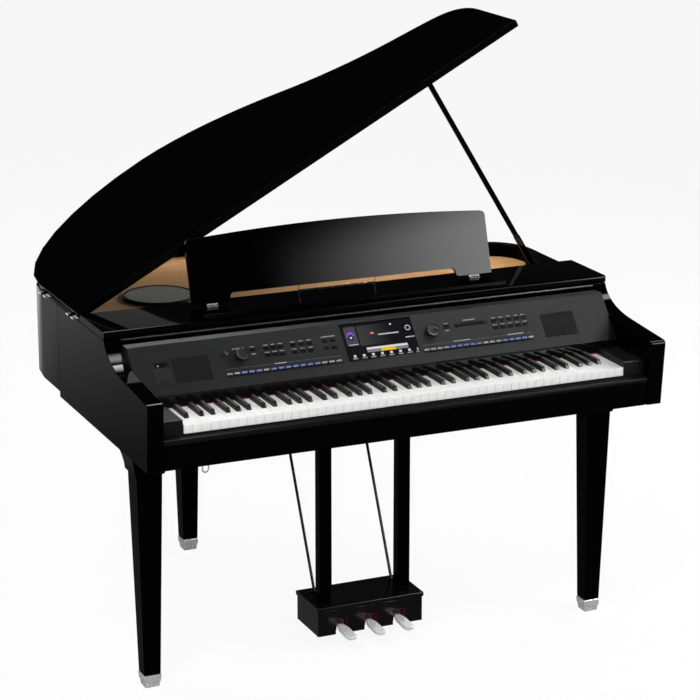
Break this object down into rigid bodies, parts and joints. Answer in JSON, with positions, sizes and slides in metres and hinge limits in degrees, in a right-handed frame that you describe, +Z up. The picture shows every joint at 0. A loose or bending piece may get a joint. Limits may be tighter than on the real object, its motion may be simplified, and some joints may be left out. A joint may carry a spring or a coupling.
{
  "type": "digital grand piano",
  "caption": "Small digital grand piano with curved case, propped open lid, tilting music desk, sliding key cover, sloping control panel, tapered legs and pedal lyre.",
  "frame": {"origin": "on the floor, under the middle of the bounding box with the lid on its prop", "axes": "+X to the player's right, +Y from the keyboard to the back of the case, +Z up"},
  "size_m": [1.439, 1.232, 1.6075],
  "materials": {
    "black_lacquer": "polished",
    "inner_board": "matte",
    "pale_wood": "satin",
    "satin_metal": "satin",
    "black_rod": "satin",
    "panel_grey": "satin",
    "slip_black": "satin",
    "cover_black": "gloss",
    "speaker_black": "matte",
    "silver_mesh": "satin",
    "screen_glass": "gloss",
    "panel_grille": "matte",
    "button_plastic": "matte",
    "usb_plastic": "matte",
    "dial_plastic": "satin",
    "white_key": "satin",
    "black_key": "satin"
  },
  "bodies": {
    "case": {"black_keys": "black_key", "bottom_board": "inner_board", "control_panel": "panel_grey", "curved_rim": "black_lacquer", "front_lid_hinge": "satin_metal", "front_rail": "black_lacquer", "headphone_hook": "satin_metal", "inner_rim": "inner_board", "key_bed": "inner_board", "key_slip": "slip_black", "left_brace": "black_rod", "left_desk_hinge": "satin_metal", "left_ferrule": "satin_metal", "left_key_block": "black_lacquer", "left_leg": "black_lacquer", "left_lyre_post": "black_lacquer", "left_panel_grille": "panel_grille", "left_side_panel": "black_lacquer", "pedal_box": "black_lacquer", "prop_bracket": "black_rod", "rear_ferrule": "satin_metal", "rear_leg": "black_lacquer", "rear_lid_hinge": "satin_metal", "right_brace": "black_rod", "right_desk_hinge": "satin_metal", "right_ferrule": "satin_metal", "right_key_block": "black_lacquer", "right_leg": "black_lacquer", "right_lyre_post": "black_lacquer", "right_panel_grille": "panel_grille", "right_side_panel": "black_lacquer", "round_speaker": "speaker_black", "round_speaker_grille": "silver_mesh", "soundboard_panel": "pale_wood", "top_board": "black_lacquer", "touch_screen": "screen_glass", "white_keys": "white_key"},
    "lid": {"lid": "black_lacquer", "prop_rest": "black_rod"},
    "prop": {"lid_prop": "black_lacquer"},
    "key_cover": {"key_cover": "cover_black"},
    "music_desk": {"music_desk": "black_lacquer"},
    "desk_stay": {"music_desk_stay": "satin_metal"},
    "left_pedal": {"left_pedal": "satin_metal"},
    "middle_pedal": {"middle_pedal": "satin_metal"},
    "right_pedal": {"right_pedal": "satin_metal"},
    "volume_dial": {"volume_dial": "dial_plastic"},
    "effect_knob": {"effect_knob": "dial_plastic"},
    "data_dial": {"data_dial": "dial_plastic"},
    "power_button": {"power_button": "button_plastic"},
    "usb_cover": {"usb_cover": "usb_plastic"},
    "left_button_row": {"left_button_row": "button_plastic"},
    "right_button_row": {"right_button_row": "button_plastic"},
    "left_button_group": {"left_button_group": "button_plastic"},
    "right_button_group": {"right_button_group": "button_plastic"},
    "key_c4": {"key_c4": "white_key"},
    "key_c_sharp_4": {"key_c_sharp_4": "black_key"},
    "key_d4": {"key_d4": "white_key"},
    "key_d_sharp_4": {"key_d_sharp_4": "black_key"},
    "key_e4": {"key_e4": "white_key"}
  },
  "joints": [
    {"name": "lid_hinge", "type": "hinge", "parent": "case", "child": "lid", "pos_m": [-0.7155, 0.009, 0.90815], "axis": [0, -1, 0], "range_deg": [0, 15]},
    {"name": "prop_fold", "type": "hinge", "parent": "case", "child": "prop", "pos_m": [0.6605, 0.009, 0.889], "axis": [0, -1, 0], "range_deg": [0, 57.9]},
    {"name": "cover_slide", "type": "hinge", "parent": "case", "child": "key_cover", "pos_m": [0.0045, -0.294, 0.508], "axis": [1, 0, 0], "range_deg": [0, 46.5]},
    {"name": "desk_fold", "type": "hinge", "parent": "case", "child": "music_desk", "pos_m": [0.0045, -0.168, 0.933], "axis": [1, 0, 0], "range_deg": [0, 106]},
    {"name": "stay_fold", "type": "hinge", "parent": "music_desk", "child": "desk_stay", "pos_m": [0.0045, -0.1346, 1.00121], "axis": [1, 0, 0], "range_deg": [-37.6, 0]},
    {"name": "left_pedal_press", "type": "hinge", "parent": "case", "child": "left_pedal", "pos_m": [-0.0795, -0.216, 0.056], "axis": [1, 0, 0], "range_deg": [0, 5], "stiffness_Nm_per_rad": 40, "springref_deg": -2.86},
    {"name": "middle_pedal_press", "type": "hinge", "parent": "case", "child": "middle_pedal", "pos_m": [0.0045, -0.216, 0.056], "axis": [1, 0, 0], "range_deg": [0, 5], "stiffness_Nm_per_rad": 40, "springref_deg": -2.86},
    {"name": "right_pedal_press", "type": "hinge", "parent": "case", "child": "right_pedal", "pos_m": [0.0885, -0.216, 0.056], "axis": [1, 0, 0], "range_deg": [0, 5], "stiffness_Nm_per_rad": 40, "springref_deg": -2.86},
    {"name": "volume_turn", "type": "hinge", "parent": "case", "child": "volume_dial", "pos_m": [-0.3785, -0.38184, 0.85327], "axis": [0, -0.7716, 0.6361], "range_deg": [-150, 150]},
    {"name": "effect_turn", "type": "hinge", "parent": "case", "child": "effect_knob", "pos_m": [-0.4185, -0.37484, 0.86176], "axis": [0, -0.7716, 0.6361], "range_deg": [-150, 150]},
    {"name": "data_turn", "type": "hinge", "parent": "case", "child": "data_dial", "pos_m": [0.1555, -0.37993, 0.85559], "axis": [0, -0.7716, 0.6361], "continuous": true},
    {"name": "power_press", "type": "slide", "parent": "case", "child": "power_button", "axis": [0, 0.7716, -0.6361], "range_m": [0, 0.0015], "stiffness_N_per_m": 1500, "springref_m": -0.001},
    {"name": "usb_slide", "type": "slide", "parent": "case", "child": "usb_cover", "axis": [0, 0.6361, 0.7716], "range_m": [0, 0.019]},
    {"name": "left_button_row_press", "type": "slide", "parent": "case", "child": "left_button_row", "axis": [0, 0.7716, -0.6361], "range_m": [0, 0.001], "stiffness_N_per_m": 2000, "springref_m": -0.001},
    {"name": "right_button_row_press", "type": "slide", "parent": "case", "child": "right_button_row", "axis": [0, 0.7716, -0.6361], "range_m": [0, 0.001], "stiffness_N_per_m": 2000, "springref_m": -0.001},
    {"name": "left_button_group_press", "type": "slide", "parent": "case", "child": "left_button_group", "axis": [0, 0.7716, -0.6361], "range_m": [0, 0.001], "stiffness_N_per_m": 2000, "springref_m": -0.001},
    {"name": "right_button_group_press", "type": "slide", "parent": "case", "child": "right_button_group", "axis": [0, 0.7716, -0.6361], "range_m": [0, 0.001], "stiffness_N_per_m": 2000, "springref_m": -0.001},
    {"name": "key_c4_press", "type": "hinge", "parent": "case", "child": "key_c4", "pos_m": [-0.05425, -0.3553, 0.735], "axis": [1, 0, 0], "range_deg": [0, 2.6], "stiffness_Nm_per_rad": 3, "springref_deg": -5.16},
    {"name": "key_c_sharp_4_press", "type": "hinge", "parent": "case", "child": "key_c_sharp_4", "pos_m": [-0.0457, -0.343, 0.7456], "axis": [1, 0, 0], "range_deg": [0, 2.6], "stiffness_Nm_per_rad": 3, "springref_deg": -5.16},
    {"name": "key_d4_press", "type": "hinge", "parent": "case", "child": "key_d4", "pos_m": [-0.03075, -0.3553, 0.735], "axis": [1, 0, 0], "range_deg": [0, 2.6], "stiffness_Nm_per_rad": 3, "springref_deg": -5.16},
    {"name": "key_d_sharp_4_press", "type": "hinge", "parent": "case", "child": "key_d_sharp_4", "pos_m": [-0.0158, -0.343, 0.7456], "axis": [1, 0, 0], "range_deg": [0, 2.6], "stiffness_Nm_per_rad": 3, "springref_deg": -5.16},
    {"name": "key_e4_press", "type": "hinge", "parent": "case", "child": "key_e4", "pos_m": [-0.00725, -0.3553, 0.735], "axis": [1, 0, 0], "range_deg": [0, 2.6], "stiffness_Nm_per_rad": 3, "springref_deg": -5.16}
  ],
  "couplings": [
    {"joint": "stay_fold", "follows": "desk_fold", "ratio": -0.354}
  ]
}
